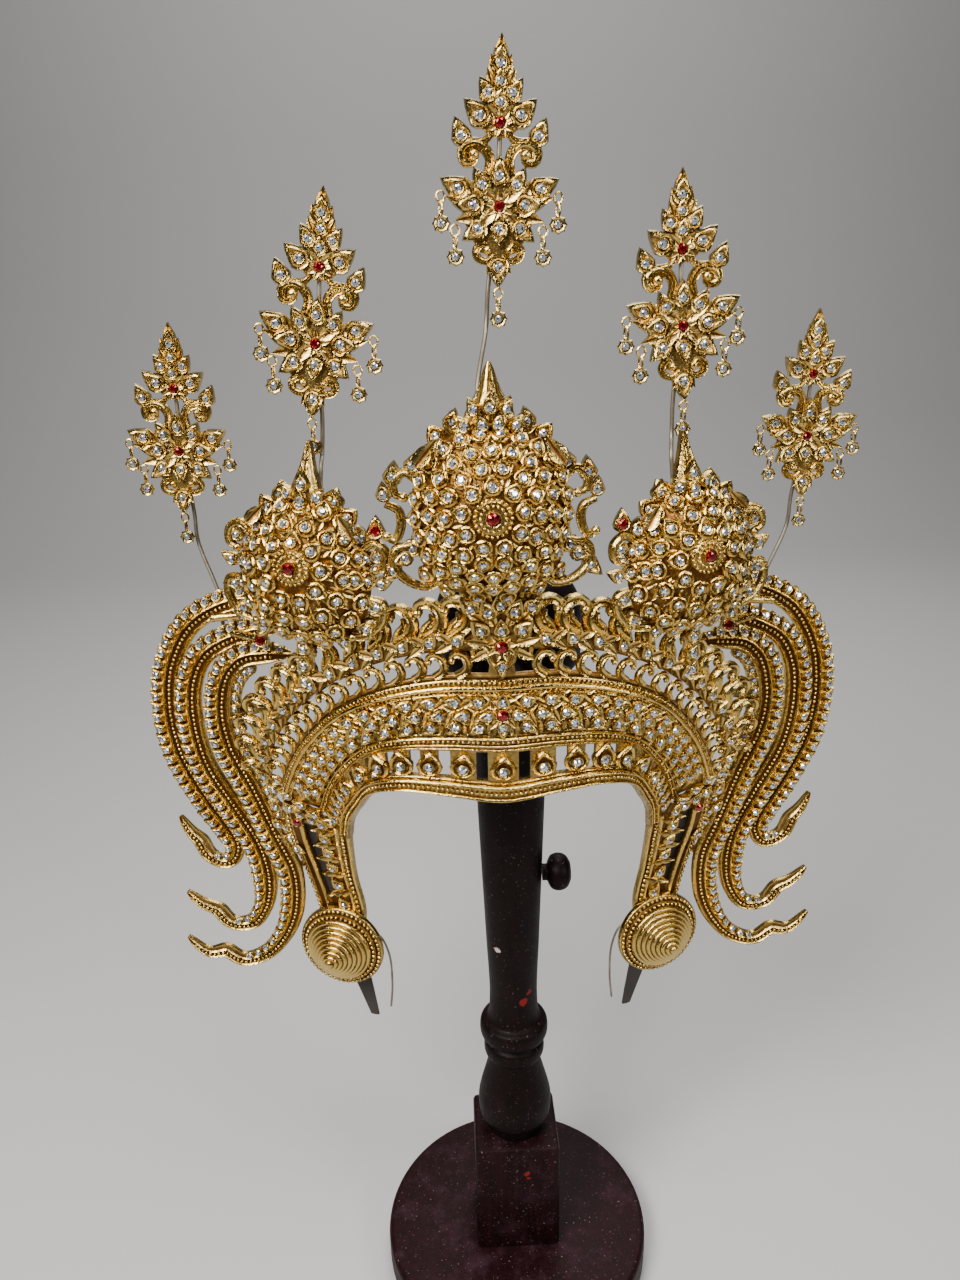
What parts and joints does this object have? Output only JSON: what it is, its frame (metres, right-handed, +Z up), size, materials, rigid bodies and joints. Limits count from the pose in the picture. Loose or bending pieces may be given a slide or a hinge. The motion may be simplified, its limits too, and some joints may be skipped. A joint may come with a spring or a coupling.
{
  "type": "apsara crown on a turned wooden stand",
  "caption": "Gilt dance crown with stone-set band, crest, medallions, serpent wings, ear bosses and trembling spires, on a turned wooden stand.",
  "frame": {"origin": "on the floor, at the middle of the stand's underside", "axes": "+Z up the stand's post, the crown's face towards -Y, the crown's own left towards -X as it is looked at"},
  "size_m": [0.3401, 0.1738, 0.649],
  "materials": {
    "gold": "polished gilding over cast relief, darker in the crevices",
    "clear_stone": "cut clear rhinestone",
    "red_stone": "cut red rhinestone",
    "wire": "dull spring wire",
    "leather": "dark stiff leather",
    "wood": "worn dark lacquer with chips"
  },
  "bodies": {
    "root": {"stand_base": "wood", "stand_plinth": "wood", "stand_post": "wood", "stand_knob": "wood", "brow_band": "gold", "crest": "gold", "medallion_center": "gold", "medallion_right": "gold", "medallion_left": "gold", "naga_wing_right": "gold", "naga_wing_left": "gold", "ear_flap_right": "gold", "ear_flap_left": "gold", "ear_boss_right": "gold", "ear_boss_left": "gold", "ear_tab_right": "leather", "ear_tab_left": "leather", "ear_wire_right": "wire", "ear_wire_left": "wire", "spire_center": "gold", "spire_wire_center": "wire", "drop_center_high_right": "clear_stone", "drop_center_high_left": "clear_stone", "drop_center_low_right": "clear_stone", "drop_center_low_left": "clear_stone", "drop_center_bottom": "clear_stone", "spire_inner_right": "gold", "spire_wire_inner_right": "wire", "drop_inner_right_high_right": "clear_stone", "drop_inner_right_high_left": "clear_stone", "drop_inner_right_low_right": "clear_stone", "drop_inner_right_low_left": "clear_stone", "drop_inner_right_bottom": "clear_stone", "spire_inner_left": "gold", "spire_wire_inner_left": "wire", "drop_inner_left_high_right": "clear_stone", "drop_inner_left_high_left": "clear_stone", "drop_inner_left_low_right": "clear_stone", "drop_inner_left_low_left": "clear_stone", "drop_inner_left_bottom": "clear_stone", "spire_outer_right": "gold", "spire_wire_outer_right": "wire", "drop_outer_right_high_right": "clear_stone", "drop_outer_right_high_left": "clear_stone", "drop_outer_right_low_right": "clear_stone", "drop_outer_right_low_left": "clear_stone", "drop_outer_right_bottom": "clear_stone", "spire_outer_left": "gold", "spire_wire_outer_left": "wire", "drop_outer_left_high_right": "clear_stone", "drop_outer_left_high_left": "clear_stone", "drop_outer_left_low_right": "clear_stone", "drop_outer_left_low_left": "clear_stone", "drop_outer_left_bottom": "clear_stone", "band_red_stone": "red_stone", "crest_red_stone": "red_stone", "medallion_red_stone_center": "red_stone", "medallion_red_stone_right": "red_stone", "medallion_red_stone_left": "red_stone"}
  },
  "joints": []
}
